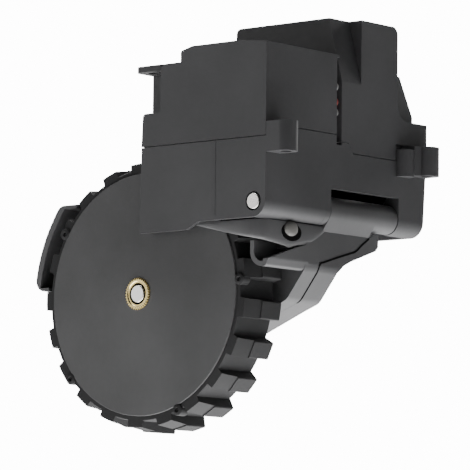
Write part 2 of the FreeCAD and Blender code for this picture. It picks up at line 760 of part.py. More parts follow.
def lip_outline(body):
    """Curled lip outboard of the neck, and the knuckle with the stop pin's pocket above it."""
    side_x = S.pivot_x + S.neck_side
    pad(body, "XZ", S.lip_y, S.case_y + 1, lambda s: outline(s, [
        (S.lip_x, S.lip_z, 4),
        (S.lip_end_x, S.lip_z, 1),
        (side_x, S.lip_z + 2.2, 2),
        (side_x, S.neck_top_z - 2),
        (side_x - 2.6, S.neck_top_z - 2),
        (S.lip_x, S.lip_top_z),
    ]))
    cut(body, "XZ", S.lip_y - 1, S.case_y, lambda s: outline(s, [
        (S.lip_x + S.lip_wall, S.lip_z + S.lip_wall, 4 - S.lip_wall),
        (S.lip_end_x - 1, S.lip_z + S.lip_wall),
        (side_x - S.lip_wall, S.lip_z + 3),
        (side_x - S.lip_wall, S.neck_top_z),
        (S.lip_x + S.lip_wall, S.neck_top_z),
    ]))
    cut(body, "YZ", S.lip_x - 1, side_x + 1, lambda s: outline(s, [
        (S.lip_y - 1, S.lip_top_z),
        (S.case_y, S.lip_top_z),
        (S.case_y, S.neck_top_z),
        (S.lip_y - 1, S.neck_top_z),
    ]))
    cut(body, "YZ", side_x - 2 * S.lip_wall, side_x + 1, lambda s: outline(s, [
        (S.lip_y - 1, S.lip_z + 1.6),
        (S.lip_y + 11, S.lip_z + 5.5),
        (S.case_y, S.lip_top_z - 0.2),
        (S.case_y, S.neck_top_z),
        (S.lip_y - 1, S.neck_top_z),
    ]))
    pad(body, "XZ", S.knuckle_y, S.case_y + 1, lambda s: outline(s, [
        (S.lip_x + S.lip_wall, S.neck_top_z),
        (side_x, S.neck_top_z),
        (side_x, S.lip_top_z - 0.5, 2),
        (S.lip_end_x - 1, S.lip_top_z - 1.6, 1),
        (S.lip_x + S.lip_wall, S.lip_top_z - 1.6),
    ]))
    cut(body, "XZ", S.knuckle_y - 1, S.knuckle_y + S.stop_pin_length,
        lambda s: circle(s, S.stop_pin_x, S.stop_pin_z, S.stop_pin_radius))
    cut(body, "XZ", S.knuckle_y - 1, S.knuckle_y + 1.5,
        lambda s: circle(s, S.stop_pin_x, S.stop_pin_z, S.stop_pin_radius + S.stop_pin_recess))


def gear_room(module, teeth):
    """Radius of the room that a gear needs in the case."""
    return module * (teeth + 2) / 2 + 0.5


def guard_outline(sketch, inset):
    """Mudguard seen from outboard, or with an inset of 1 the space inside its walls."""
    radius = guard_radius - S.guard_wall * inset
    low = S.guard_low_z + S.guard_end_wall * inset
    top = guard_top_z - S.guard_end_wall * inset
    corner = () if inset else (S.guard_corner,)
    middle = (S.guard_start_angle + S.guard_end_angle) / 2
    reach = radius / cosine((S.guard_start_angle - S.guard_end_angle) / 2)

    def tangent_end(angle, level):
        return (radius - level * sine(angle)) / cosine(angle)

    outline(sketch, [
        (S.guard_inner_x + inset, top),
        (tangent_end(S.guard_end_angle, top), top) + corner,
        (reach * cosine(middle), reach * sine(middle), radius),
        (tangent_end(S.guard_start_angle, low), low) + corner,
        (S.guard_inner_x + inset, low),
    ])


def arm_inner_half():
    """Inboard half of the gear case, with the underside of the neck and the motor's seat."""
    body = new_body("arm_inner_half")
    case_right = first_x + S.first_module * S.first_teeth / 2 + 2.4
    start = S.case_seam_y + half_gap
    pad(body, "XZ", start, S.case_back_y, case_outline)
    pad(body, "XZ", start, S.neck_end_y + 1, neck_outline)
    cut(body, "YZ", case_right, S.pivot_x + 6, lambda s: outline(
        s, [(S.case_seam_y - 1, 7.8 - half_gap)]
        + seam_line(-half_gap, S.neck_end_y + 2)
        + [(S.neck_end_y + 2, S.pivot_z + 2), (S.case_seam_y - 1, S.pivot_z + 2)]))
    cut(body, "YZ", S.neck_bend_x - 1, S.pivot_x + 6, lambda s: outline(s, [
        (S.case_back_y, -9),
        (S.case_back_y, 5.5),
        (S.case_back_y + 2, 7.5, 2),
        (S.case_back_y + 5, 8.9),
        (S.case_back_y + 15.5, 12.6),
        (S.neck_end_y + 2, 15.0),
        (S.neck_end_y + 2, -9),
    ]))
    cut(body, "XY", -8, S.pivot_z + 2, lambda s: box_outline(
        s, S.neck_bend_x - 1, S.case_back_y, case_right - 1, S.neck_end_y + 2))
    bores = ((0, 0, gear_room(S.output_module, S.output_teeth)),
             (second_x, second_z, gear_room(S.second_module, S.second_teeth)),
             (first_x, first_z, gear_room(S.first_module, S.first_teeth)),
             (motor_x, motor_z, S.first_module * S.motor_teeth / 2 + 1))
    for across, up, radius in bores:
        cut(body, "XZ", S.case_seam_y, S.case_back_y - S.case_wall,
            lambda s: circle(s, across, up, radius))
    cut(body, "XZ", S.case_seam_y, S.case_back_y + 1,
        lambda s: circle(s, motor_x, motor_z, S.motor_nose_radius))
    return body


def turned_piece(label, across, up, steps):
    """Make a round piece of steps along Y, each with its start, end and radius."""
    body = new_body(label)
    for start, end, radius in steps:
        pad(body, "XZ", start, end, lambda s: circle(s, across, up, radius))
    return body


def bore(body, across, up, radius, start, end):
    """Bore a round hole along Y."""
    return cut(body, "XZ", start, end, lambda s: circle(s, across, up, radius))


def pivot_pin():
    """Steel pin that the swing arm turns on."""
    turned_piece("pivot_pin", S.pivot_x, S.pivot_z,
                 [(S.pin_start_y, S.window_end_y + S.rib, S.pin_radius)])


def stop_pin():
    """Short steel pin in the arm's knuckle."""
    turned_piece("stop_pin", S.stop_pin_x, S.stop_pin_z, [
        (S.knuckle_y + 0.3, S.knuckle_y + S.stop_pin_length, S.stop_pin_radius)])


def wheel_disc():
    """Domed wheel disc with its rim and hub."""
    body = new_body("wheel_disc")
    revolve(body, [
        (S.disc_rim_y - 1.9, S.insert_radius),
        (S.disc_rim_y - 1.25, disc_radius * 0.5, 60),
        (S.disc_rim_y, disc_radius),
        (S.tyre_face_y + 0.3, disc_radius),
        (S.tyre_face_y + 0.3, S.tyre_bore_radius),
        (S.disc_back_y, S.tyre_bore_radius),
        (S.disc_back_y, S.tyre_bore_radius - S.disc_wall),
        (S.disc_rim_y + S.disc_wall, S.tyre_bore_radius - S.disc_wall, 1.5),
        (S.disc_rim_y + S.disc_wall - 0.7, S.hub_radius + 0.8, 1.2),
        (S.hub_back_y, S.hub_radius - 0.4),
        (S.hub_back_y, S.axle_radius),
        (S.insert_length, S.axle_radius),
        (S.insert_length, S.insert_radius),
    ])
    return body


def tyre():
    """Rubber tyre with two rows of lugs, the near one falling away, and small moulding pips."""
    body = new_body("tyre")
    revolve(body, [
        (S.tyre_face_y, disc_radius),
        (S.tyre_face_y, tyre_radius - 0.3),
        (S.tyre_face_y + 0.5, tyre_radius),
        (S.tyre_back_y - 0.5, tyre_radius),
        (S.tyre_back_y, tyre_radius - 0.5),
        (S.tyre_back_y, S.tyre_bore_radius - 1.2),
        (S.disc_back_y, S.tyre_bore_radius - 1.2),
        (S.disc_back_y, S.tyre_bore_radius),
        (S.tyre_face_y + 0.3, S.tyre_bore_radius),
        (S.tyre_face_y + 0.3, disc_radius),
    ])
    doc.recompute()
    near = pad(body, "XZ", S.tyre_face_y, S.near_lug_back_y,
               lambda s: lug_outline(s, S.lug_row_angle))
    doc.recompute()
    polar(body, [near], S.lug_count)
    doc.recompute()
    turn_away(body, [
        (S.tyre_face_y - 1, near_lug_tip_radius),
        (S.tyre_face_y, near_lug_tip_radius),
        (S.near_lug_back_y, tread_radius - S.lug_step),
        (S.near_lug_back_y, tread_radius + 1),
        (S.tyre_face_y - 1, tread_radius + 1),
    ])
    doc.recompute()
    far = pad(body, "XZ", S.near_lug_back_y - 0.1, S.tyre_back_y,
              lambda s: lug_outline(s, S.lug_row_angle))
    doc.recompute()
    polar(body, [far], S.lug_count)
    doc.recompute()
    pip = pad(body, "XZ", S.tyre_face_y - S.pip_height, S.tyre_face_y + 0.2,
              lambda s: circle(s, pip_ring_radius * cosine(4), pip_ring_radius * sine(4),
                               S.pip_radius))
    hole = cut(body, "XZ", S.tyre_face_y - S.pip_height - 0.5, S.tyre_face_y + 0.6,
               lambda s: circle(s, pip_ring_radius * cosine(4),
                                pip_ring_radius * sine(4), S.pip_hole_radius))
    polar(body, [pip, hole], S.pip_count)
    return body


def lug_outline(sketch, angle):
    """Draw one tapered lug, standing on the tyre at an angle."""
    def spot(radius, turn):
        return (radius * cosine(angle + turn), radius * sine(angle + turn))

    foot = tyre_radius - S.lug_sink
    outline(sketch, [
        spot(foot, -S.lug_foot_angle / 2),
        spot(tread_radius, -S.lug_tip_angle / 2) + (0.4,),
        spot(tread_radius, S.lug_tip_angle / 2) + (0.4,),
        spot(foot, S.lug_foot_angle / 2),
    ])


def hub_insert():
    """Knurled brass insert in the hub."""
    body = turned_piece("hub_insert", 0, 0, [
        (-S.insert_proud, S.insert_length, S.insert_radius - S.knurl_depth)])
    doc.recompute()
    tooth = pad(body, "XZ", -S.insert_proud, S.insert_length, lambda s: outline(s, [
        (-0.16, S.insert_radius - 2 * S.knurl_depth),
        (0.16, S.insert_radius - 2 * S.knurl_depth),
        (0.12, S.insert_radius),
        (-0.12, S.insert_radius),
    ]))
    doc.recompute()
    polar(body, [tooth], S.knurl_count)
    doc.recompute()
    bore(body, 0, 0, S.insert_recess_radius, -S.insert_proud - 1, S.insert_recess_depth)
    bore(body, 0, 0, S.axle_radius, 0, S.insert_length + 1)
    return body


def gear_wire(teeth, module, across, up, phase):
    """Closed outline of an involute spur gear in the XZ plane, with a tooth at the phase angle."""
    pitch = module * teeth / 2
    base = pitch * math.cos(math.radians(20))
    tip = pitch + module
    root = pitch - 1.2 * module
    spread = math.pi / (2 * teeth) - 0.04 / pitch
    pressure = math.tan(math.radians(20)) - math.radians(20)

    def flank(radius):
        ratio = min(base / radius, 1)
        angle = math.acos(ratio)
        return spread + pressure - (math.tan(angle) - angle)

    def spot(radius, angle):
        return App.Vector(across + radius * math.cos(angle), 0, up + radius * math.sin(angle))

    foot = max(base, root)
    radii = (foot, (foot + tip) / 2, tip)
    edges = []
    count = int(teeth)
    for number in range(count):
        middle = math.radians(phase) + 2 * math.pi * number / count
        following = middle + 2 * math.pi / count
        rise = [spot(radius, middle - flank(radius)) for radius in radii]
        fall = [spot(radius, middle + flank(radius)) for radius in reversed(radii)]
        edges.append(Part.Arc(*rise).toShape())
        edges.append(Part.LineSegment(rise[-1], fall[0]).toShape())
        edges.append(Part.Arc(*fall).toShape())
        low = spot(root, middle + flank(foot))
        high = spot(root, following - flank(foot))
        path = [fall[-1], low, high, spot(foot, following - flank(foot))]
        for first, last in zip(path, path[1:]):
            if first.distanceToPoint(last) > 1e-6:
                edges.append(Part.LineSegment(first, last).toShape())
    return Part.Wire(edges)


def gear(label, across, up, wheels, hub, hub_start, hub_end, hole):
    """Make one moulded gear of one or two toothed wheels on a common hub."""
    solid = None
    middle = (formula(across).value, formula(up).value)
    for teeth, module, start, end, phase in wheels:
        wire = gear_wire(teeth.value, module.value, middle[0], middle[1], phase)
        start = formula(start).value
        face = Part.Face(wire)
        toothed = face.extrude(App.Vector(0, formula(end).value - start, 0))
        toothed.translate(App.Vector(0, start, 0))
        solid = toothed if solid is None else solid.fuse(toothed)
    along = App.Vector(0, 1, 0)
    start = formula(hub_start).value
    length = formula(hub_end).value - start
    spot = App.Vector(middle[0], start, middle[1])
    solid = solid.fuse(Part.makeCylinder(formula(hub).value, length, spot, along))
    drill = Part.makeCylinder(formula(hole).value, length + 20, spot - along * 10, along)
    solid = solid.cut(drill)
    piece = doc.addObject("Part::Feature", label)
    piece.Label = label
    piece.Shape = solid
    return seat(piece)


def shaft(label, across, up, start, end, radius):
    """Make one plain steel shaft."""
    return turned_piece(label, across, up, [(start, end, radius)])


def finish():
    """Check every object and write each sub-part."""
    doc.recompute()
    bad = [thing.Label for thing in doc.Objects
           if "Invalid" in thing.State or "Error" in thing.State]
    for piece in PARTS:
        shape = piece.Shape
        if shape.isNull() or not shape.isValid() or not shape.Solids:
            bad.append(piece.Label)
    if bad:
        raise RuntimeError("failed: " + ", ".join(bad))
    os.makedirs("parts", exist_ok=True)
    for piece in PARTS:
        piece.Shape.exportStep(f"parts/{piece.Label}.step")
        print(piece.Label, round(piece.Shape.Volume, 2), len(piece.Shape.Solids))


def mesh_phase(teeth, phase, other_teeth, direction):
    """Angle of a tooth of the second gear that meets the first gear along a direction."""
    part = (direction - phase) * teeth / 360
    return direction + 180 - (0.5 - part) * 360 / other_teeth


def gear_train():
    """Output gear on the axle, two compound gears on their shafts and the motor pinion."""
    output_end = S.output_gear_y + S.output_gear_width
    second_end = S.second_gear_y + S.second_gear_width
    first_end = S.first_gear_y + S.first_gear_width
    back = S.case_back_y - S.case_wall
    second_phase = mesh_phase(S.output_teeth.value, 0, S.second_pinion_teeth.value,
                              S.second_angle.value)
    first_phase = mesh_phase(S.second_teeth.value, second_phase, S.first_pinion_teeth.value,
                             S.first_angle.value)
    motor_phase = mesh_phase(S.first_teeth.value, first_phase, S.motor_teeth.value,
                             S.motor_angle.value)
    floor = S.case_y + S.case_wall
    gear("output_gear", 0, 0,
         [(S.output_teeth, S.output_module, S.output_gear_y, output_end, 0)],
         S.axle_radius + 2, floor + 0.3, back - 0.3, S.axle_radius)
    gear("second_gear", second_x, second_z,
         [(S.second_pinion_teeth, S.output_module, S.output_gear_y, S.second_gear_y + 0.1,
           second_phase),
          (S.second_teeth, S.second_module, S.second_gear_y, second_end, second_phase)],
         S.gear_shaft_radius + 1.2, floor + 0.3, back - 0.3,
         S.gear_shaft_radius + S.running_fit)
    gear("first_gear", first_x, first_z,
         [(S.first_pinion_teeth, S.second_module, S.second_gear_y, S.first_gear_y + 0.1,
           first_phase),
          (S.first_teeth, S.first_module, S.first_gear_y, first_end, first_phase)],
         S.gear_shaft_radius + 1.0, floor + 0.3, back - 0.3,
         S.gear_shaft_radius + S.running_fit)
    gear("motor_pinion", motor_x, motor_z,
         [(S.motor_teeth, S.first_module, S.first_gear_y - 0.4, first_end, motor_phase)],
         S.motor_shaft_radius + 0.6, S.first_gear_y - 0.4, first_end, S.motor_shaft_radius)
    for label, across, up in (("second_gear_shaft", second_x, second_z),
                              ("first_gear_shaft", first_x, first_z)):
        shaft(label, across, up, floor - 0.8, back + 0.8, S.gear_shaft_radius)
    shaft("wheel_axle", 0, 0, -S.axle_proud, S.axle_end_y, S.axle_radius)
    for label, start, end in (("outboard_bush", S.case_y, floor),
                              ("inboard_bush", back, S.case_back_y)):
        bush = turned_piece(label, 0, 0, [(start, end, S.axle_radius + S.bush_wall)])
        bore(bush, 0, 0, S.axle_radius + S.running_fit, start - 1, end + 1)


def motor():
    """Can motor on the inboard face of the gear case."""
    end = S.case_back_y + S.motor_length
    can = turned_piece("motor_can", motor_x, motor_z, [
        (S.case_back_y - 1.4, S.case_back_y + 1, S.motor_nose_radius),
        (S.case_back_y, end, S.motor_radius)])
    bore(can, motor_x, motor_z, S.motor_shaft_radius + S.running_fit,
         S.case_back_y - 2, S.case_back_y + 5)
    turned_piece("motor_cap", motor_x, motor_z, [
        (end, end + S.motor_cap_length - 1, S.motor_cap_radius),
        (end, end + S.motor_cap_length, 3.2)])
    shaft("motor_shaft", motor_x, motor_z, S.first_gear_y - 0.8, S.case_back_y + 4.8,
          S.motor_shaft_radius)


def case_screw_places():
    """Where the gear case is screwed together."""
    return ((28.0, -1.0), (33.2, 32.5), (-4.4, 17.9), (32.6, 8.0))


def case_screws(outer, inner):
    """Screws that hold the two halves of the gear case together."""
    body = new_body("case_screws")
    body.AllowCompound = True
    for across, up in case_screw_places():
        pad(body, "XZ", S.case_back_y - 9, S.case_back_y,
            lambda s: circle(s, across, up, S.screw_radius))
        pad(body, "XZ", S.case_back_y, S.case_back_y + S.screw_head_height,
            lambda s: circle(s, across, up, S.screw_head_radius))
        bore(outer, across, up, S.screw_radius, S.case_back_y - 9, S.case_seam_y + 1)
        bore(inner, across, up, S.screw_radius, S.case_seam_y, S.case_back_y + 1)
    return body


def shaft_seats(outer, inner):
    """Blind holes in both halves of the case for the gear shafts, and the bush seats."""
    floor = S.case_y + S.case_wall
    back = S.case_back_y - S.case_wall
    for across, up in ((second_x, second_z), (first_x, first_z)):
        bore(outer, across, up, S.gear_shaft_radius, floor - 0.8, floor + 1)
        bore(inner, across, up, S.gear_shaft_radius, back - 1, back + 0.8)
    bore(inner, 0, 0, S.axle_radius + S.bush_wall, back - 1, S.case_back_y + 1)


lower_housing()
upper_cover()
pivot_pin()
stop_pin()
outer_half = arm_outer_half()
inner_half = arm_inner_half()
shaft_seats(outer_half, inner_half)
case_screws(outer_half, inner_half)
wheel_disc()
tyre()
hub_insert()
gear_train()
motor()
finish()
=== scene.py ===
"""Looks of the robot vacuum wheel module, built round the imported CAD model."""
import json
import math

import bmesh
import bpy
from mathutils import Matrix, Vector


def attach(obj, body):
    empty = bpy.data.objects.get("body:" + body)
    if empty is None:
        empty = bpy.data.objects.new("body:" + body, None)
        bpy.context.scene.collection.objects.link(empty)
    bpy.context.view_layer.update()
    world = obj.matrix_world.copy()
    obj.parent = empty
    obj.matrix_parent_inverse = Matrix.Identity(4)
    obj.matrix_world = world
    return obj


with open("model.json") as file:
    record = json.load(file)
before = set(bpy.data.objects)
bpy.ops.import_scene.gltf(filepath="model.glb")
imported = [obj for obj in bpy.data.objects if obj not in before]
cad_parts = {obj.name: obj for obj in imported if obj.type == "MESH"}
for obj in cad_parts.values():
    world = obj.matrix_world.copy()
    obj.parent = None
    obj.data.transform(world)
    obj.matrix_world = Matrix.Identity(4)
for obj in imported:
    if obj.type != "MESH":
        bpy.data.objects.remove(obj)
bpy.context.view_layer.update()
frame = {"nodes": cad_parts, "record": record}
MM = 0.001
HUB = Vector((-0.0499, 0.0, -0.0338))


def hub(x, y, z):
    """A point in millimetres from the wheel's hub end, in the row frame."""
    return HUB + Vector((x, y, z)) * MM


# Materials
def new_material(name, color, roughness, metallic=0.0):
    """Start a node material and give its tree, its shader and its object coordinates."""
    material = bpy.data.materials.new(name)
    material.use_nodes = True
    tree = material.node_tree
    shader = tree.nodes["Principled BSDF"]
    shader.inputs["Base Color"].default_value = (*color, 1)
    shader.inputs["Roughness"].default_value = roughness
    shader.inputs["Metallic"].default_value = metallic
    place = tree.nodes.new("ShaderNodeTexCoord").outputs["Object"]
    return material, tree, shader, place


def noise(tree, place, scale, detail=3.0):
    """Add a noise texture with so many features to the metre."""
    node = tree.nodes.new("ShaderNodeTexNoise")
    node.inputs["Scale"].default_value = scale
    node.inputs["Detail"].default_value = detail
    tree.links.new(place, node.inputs["Vector"])
    return node.outputs["Fac"]


def ramp(tree, source, stops):
    """Map a value to colours at given places."""
    node = tree.nodes.new("ShaderNodeValToRGB")
    elements = node.color_ramp.elements
    while len(elements) < len(stops):
        elements.new(0.5)
    for element, (where, color) in zip(elements, stops):
        element.position = where
        element.color = (*color, 1)
    tree.links.new(source, node.inputs["Fac"])
    return node.outputs["Color"]


def level(tree, source, low, high):
    """Map a value from 0 to 1 onto a range."""
    node = tree.nodes.new("ShaderNodeMapRange")
    node.inputs["To Min"].default_value = low
    node.inputs["To Max"].default_value = high
    tree.links.new(source, node.inputs["Value"])
    return node.outputs["Result"]


def bump(tree, shader, layers):
    """Stack bumps, each with its height source, strength and depth in metres."""
    below = None
    for source, strength, depth in layers:
        node = tree.nodes.new("ShaderNodeBump")
        node.inputs["Strength"].default_value = strength
        node.inputs["Distance"].default_value = depth
        tree.links.new(source, node.inputs["Height"])
        if below is not None:
            tree.links.new(below, node.inputs["Normal"])
        below = node.outputs["Normal"]
    tree.links.new(below, shader.inputs["Normal"])


def moulded_plastic(name, color, roughness, grain, spread=0.18):
    """Textured injection-moulded plastic with faint flow and handling marks."""
    material, tree, shader, place = new_material(name, color, roughness)
    broad = noise(tree, place, 38.0, 4.0)
    fine = noise(tree, place, 2600.0, 2.0)
    mid = noise(tree, place, 700.0, 3.0)
    dark = tuple(c * (1 - spread) for c in color)
    light = tuple(c * (1 + spread) for c in color)
    tree.links.new(ramp(tree, broad, [(0.3, dark), (0.7, light)]), shader.inputs["Base Color"])
    tree.links.new(level(tree, mid, roughness - 0.07, roughness + 0.08),
                   shader.inputs["Roughness"])
    bump(tree, shader, [(fine, grain, 0.00006), (mid, grain * 0.6, 0.00008)])
    shader.inputs["Specular IOR Level"].default_value = 0.5
    return material


def rubber(name, color):
    """Matt rubber with a moulded skin and a little dust."""
    material, tree, shader, place = new_material(name, color, 0.72)
    broad = noise(tree, place, 60.0, 5.0)
    fine = noise(tree, place, 3200.0, 2.0)
    dusty = tuple(c * 1.35 + 0.003 for c in color)
    tree.links.new(ramp(tree, broad, [(0.35, color), (0.75, dusty)]), shader.inputs["Base Color"])
    tree.links.new(level(tree, broad, 0.62, 0.8), shader.inputs["Roughness"])
    bump(tree, shader, [(fine, 0.25, 0.00005)])
    shader.inputs["Specular IOR Level"].default_value = 0.3
    return material


def metal(name, color, roughness, scratch=900.0):
    """Turned or ground metal with fine marks."""
    material, tree, shader, place = new_material(name, color, roughness, 1.0)
    marks = noise(tree, place, scratch, 4.0)
    tree.links.new(level(tree, marks, roughness * 0.7, roughness * 1.4),
                   shader.inputs["Roughness"])
    shade = tuple(c * 0.82 for c in color)
    tree.links.new(ramp(tree, marks, [(0.3, shade), (0.7, color)]), shader.inputs["Base Color"])
    bump(tree, shader, [(marks, 0.12, 0.00003)])
    return material


MATERIALS = {
    "housing_plastic": moulded_plastic("housing_plastic", (0.040, 0.040, 0.042), 0.46, 0.16),
    # arm_plastic is lighter than housing_plastic: partly the arm's own plastic, partly painted
    # light that brightens the arm's panels.
    "arm_plastic": moulded_plastic("arm_plastic", (0.060, 0.060, 0.062), 0.42, 0.14),
    "wheel_plastic": moulded_plastic("wheel_plastic", (0.050, 0.050, 0.051), 0.52, 0.34),
    "tyre_rubber": rubber("tyre_rubber", (0.013, 0.013, 0.0135)),
    "brass": metal("brass", (0.99, 0.79, 0.36), 0.26),
    "steel": metal("steel", (0.99, 0.97, 0.94), 0.21, 500.0),
    "motor_steel": metal("motor_steel", (0.55, 0.55, 0.56), 0.38, 300.0),
    "motor_plastic": moulded_plastic("motor_plastic", (0.02, 0.02, 0.021), 0.4, 0.1),
    "gear_plastic": moulded_plastic("gear_plastic", (0.78, 0.76, 0.70), 0.35, 0.05, 0.03),
}
# Near-black material for pieces that are painted shade: they stand where only shadow falls, in
# gaps, holes, recesses and behind the window.
PAINTED_SHADE = moulded_plastic("painted_shade_black", (0.002, 0.002, 0.002), 0.85, 0.05)
PAINTED_SHADE.node_tree.nodes["Principled BSDF"].inputs["Specular IOR Level"].default_value = 0.05
STUB = moulded_plastic("stub_plastic", (0.105, 0.103, 0.097), 0.5, 0.1)
LEADS = {
    "grey": moulded_plastic("lead_grey", (0.20, 0.20, 0.20), 0.35, 0.04, 0.05),
    "red": moulded_plastic("lead_red", (0.20, 0.035, 0.03), 0.35, 0.04, 0.05),
}
# Widths in millimetres of the rounded edges of the CAD nodes
BEVELS = {
    "lower_housing": 0.45, "upper_cover": 0.45, "arm_outer_half": 0.4, "arm_inner_half": 0.4,
    "tyre": 0.35, "wheel_disc": 0.2, "hub_insert": 0.05, "wheel_axle": 0.25, "pivot_pin": 0.25,
    "motor_can": 0.6, "motor_cap": 0.3,
}
SMALL_BEVEL = 0.12
WELD_REACH = 1e-6
FLAT_ANGLE = math.radians(1.0)
EDGE_ANGLE = math.radians(32)
SHARP_ANGLE = math.radians(35)


def soften(piece, width):
    """Round the sharp edges of a CAD node by modifiers, and shade it smooth."""
    for polygon in piece.data.polygons:
        polygon.use_smooth = True
    weld = piece.modifiers.new("weld", "WELD")
    weld.merge_threshold = WELD_REACH
    flat = piece.modifiers.new("flat", "DECIMATE")
    flat.decimate_type = "DISSOLVE"
    flat.angle_limit = FLAT_ANGLE
    edge = piece.modifiers.new("edge", "BEVEL")
    edge.width = width * MM
    edge.segments = 3
    edge.limit_method = "ANGLE"
    edge.angle_limit = EDGE_ANGLE
    edge.use_clamp_overlap = True
    normals = piece.modifiers.new("normals", "WEIGHTED_NORMAL")
    normals.mode = "FACE_AREA"
    normals.weight = 100
    normals.keep_sharp = True


slots = {row["node"]: row["material_slot"] for row in frame["record"]["subparts"]}
for name, node in frame["nodes"].items():
    node.data.materials.clear()
    node.data.materials.append(MATERIALS[slots[name]])
    soften(node, BEVELS.get(name, SMALL_BEVEL))


# Small pieces that only the scene has
def piece_from(name, points, faces, material, body, slot, smooth=True):
    """Make a mesh piece from points in millimetres from the hub end, and let it ride."""
    mesh = bpy.data.meshes.new(name)
    mesh.from_pydata([hub(*point) for point in points], [], faces)
    cleaned = bmesh.new()
    cleaned.from_mesh(mesh)
    bmesh.ops.recalc_face_normals(cleaned, faces=cleaned.faces)
    cleaned.to_mesh(mesh)
    cleaned.free()
    for polygon in mesh.polygons:
        polygon.use_smooth = smooth
    mesh.materials.append(material)
    piece = bpy.data.objects.new(name, mesh)
    bpy.context.scene.collection.objects.link(piece)
    if smooth:
        mesh.set_sharp_from_angle(angle=SHARP_ANGLE)
    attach(piece, body)
    return piece


def turned(centre, rings, count, teeth=0.0):
    """Points and faces of rings turned round a line along Y.

    Each ring has a radius, a depth and whether it is toothed, with teeth of a given depth.
    """
    across, inboard, up = centre
    points = []
    for radius, depth, toothed in rings:
        for step in range(count):
            angle = 2 * math.pi * step / count
            reach = radius - (teeth if toothed and step % 4 > 1 else 0)
            points.append((across + reach * math.cos(angle), inboard + depth,
                           up + reach * math.sin(angle)))
    faces = []
    for ring in range(len(rings) - 1):
        for step in range(count):
            after = (step + 1) % count
            low, high = ring * count, (ring + 1) * count
            faces.append((low + step, low + after, high + after, high + step))
    return points, faces


def joined(parts):
    """Join several lists of points and faces into one."""
    points, faces = [], []
    for some_points, some_faces in parts:
        faces += [tuple(index + len(points) for index in face) for face in some_faces]
        points += some_points
    return points, faces


KNURL_RINGS = [
    (2.86, 0.5, False), (2.9, 0.3, False), (3.3, -0.3, False), (3.4, -0.36, False),
    (3.95, -0.36, True), (4.28, -0.24, True), (4.3, 0.3, True),
]
KNURL_STEPS = 144
KNURL_DEPTH = 0.3
# The axle gap ring is painted shade: a black ring in the gap round the axle.
GAP_SHADE_RINGS = [(2.2, 0.25, False), (2.88, 0.25, False), (2.88, 0.6, False)]
GAP_STEPS = 48
piece_from("knurled_rim", *turned((0, 0, 0), KNURL_RINGS, KNURL_STEPS, KNURL_DEPTH),
           MATERIALS["brass"], "wheel", "brass")
piece_from("axle_gap_shade", *turned((0, 0, 0), GAP_SHADE_RINGS, GAP_STEPS), PAINTED_SHADE, "wheel", "brass")

PIP_ANGLES = (4, 76, 148, 220, 292)
PIP_REACH = 33.1
PIP_RINGS = [(0.5, 2.3, False), (0.55, 1.8, False), (0.7, 1.66, False), (1.2, 1.7, False),
             (1.5, 1.9, False), (1.55, 2.2, False), (1.55, 4.6, False)]
# The pip holes are black discs: painted shade that fills each hole.
HOLE_SHADE_RINGS = [(0.02, 2.1, False), (0.54, 2.1, False), (0.54, 2.3, False)]
PIP_STEPS = 28
pip_parts, hole_shade_parts = [], []
for angle in PIP_ANGLES:
    turn = math.radians(angle)
    spot = (PIP_REACH * math.cos(turn), 0, PIP_REACH * math.sin(turn))
    pip_parts.append(turned(spot, PIP_RINGS, PIP_STEPS))
    hole_shade_parts.append(turned(spot, HOLE_SHADE_RINGS, PIP_STEPS))
piece_from("tyre_pips", *joined(pip_parts), MATERIALS["tyre_rubber"], "wheel", "tyre_rubber")
piece_from("tyre_pip_hole_shade", *joined(hole_shade_parts), PAINTED_SHADE, "wheel", "tyre_rubber")


def tube(route, radius, count=10):
    """Points and faces of a round tube through points in the X to Z plane."""
    points, faces = [], []
    for here, (across, inboard, up) in enumerate(route):
        before = Vector(route[max(here - 1, 0)])
        after = Vector(route[min(here + 1, len(route) - 1)])
        along = (after - before).normalized()
        side = Vector((0, 1, 0))
        lift = along.cross(side)
        for step in range(count):
            angle = 2 * math.pi * step / count
            points.append(Vector((across, inboard, up))
                          + (side * math.cos(angle) + lift * math.sin(angle)) * radius)
    for ring in range(len(route) - 1):
        for step in range(count):
            after = (step + 1) % count
            low, high = ring * count, (ring + 1) * count
            faces.append((low + step, low + after, high + after, high + step))
    faces.append(tuple(range(count)))
    faces.append(tuple(range((len(route) - 1) * count, len(route) * count)))
    return points, faces


def bend(start, reach, drop, count=14):
    """Route of a lead that comes out of the box and turns down into it again."""
    across, inboard, up = start
    return [(across + reach * math.sin(math.pi * k / count), inboard,
             up - drop * k / count) for k in range(count + 1)]


LEAD_ROWS = (("lead_1", 55.6, "grey"), ("lead_2", 51.6, "red"), ("lead_3", 48.8, "grey"))
LEAD_X = 42.6
LEAD_Y = 26.7
LEAD_REACH = 2.0
LEAD_DROP = 3.2
LEAD_RADIUS = 0.62
for name, height, color in LEAD_ROWS:
    route = bend((LEAD_X, LEAD_Y, height), LEAD_REACH, LEAD_DROP)
    piece_from(name, *tube(route, LEAD_RADIUS), LEADS[color], "housing", "housing_plastic")


SHOULDER_PATH = [
    (19.0, -0.85, 17.0), (25.0, -0.85, 15.5), (30.0, -0.85, 14.3), (35.0, -0.85, 13.2),
    (38.2, -0.75, 12.6), (40.4, -0.1, 12.2), (41.8, 1.3, 11.9), (42.4, 3.2, 11.6),
    (42.6, 6.0, 11.3), (42.7, 9.0, 10.9), (42.7, 10.5, 10.5), (42.7, 14.0, 11.4),
    (42.7, 17.5, 12.1), (42.7, 19.8, 12.6), (42.7, 22.5, 14.1), (42.7, 24.6, 15.6),
    (42.7, 26.2, 16.9),
]
SHOULDER_TOP = 17.15
SHOULDER_WALL = 0.6
SHOULDER_LEVELS = [(0.0, 0.05), (0.05, 0.0), (0.5, 0.0), (0.8, 0.06), (0.94, 0.22), (1.0, 0.5)]


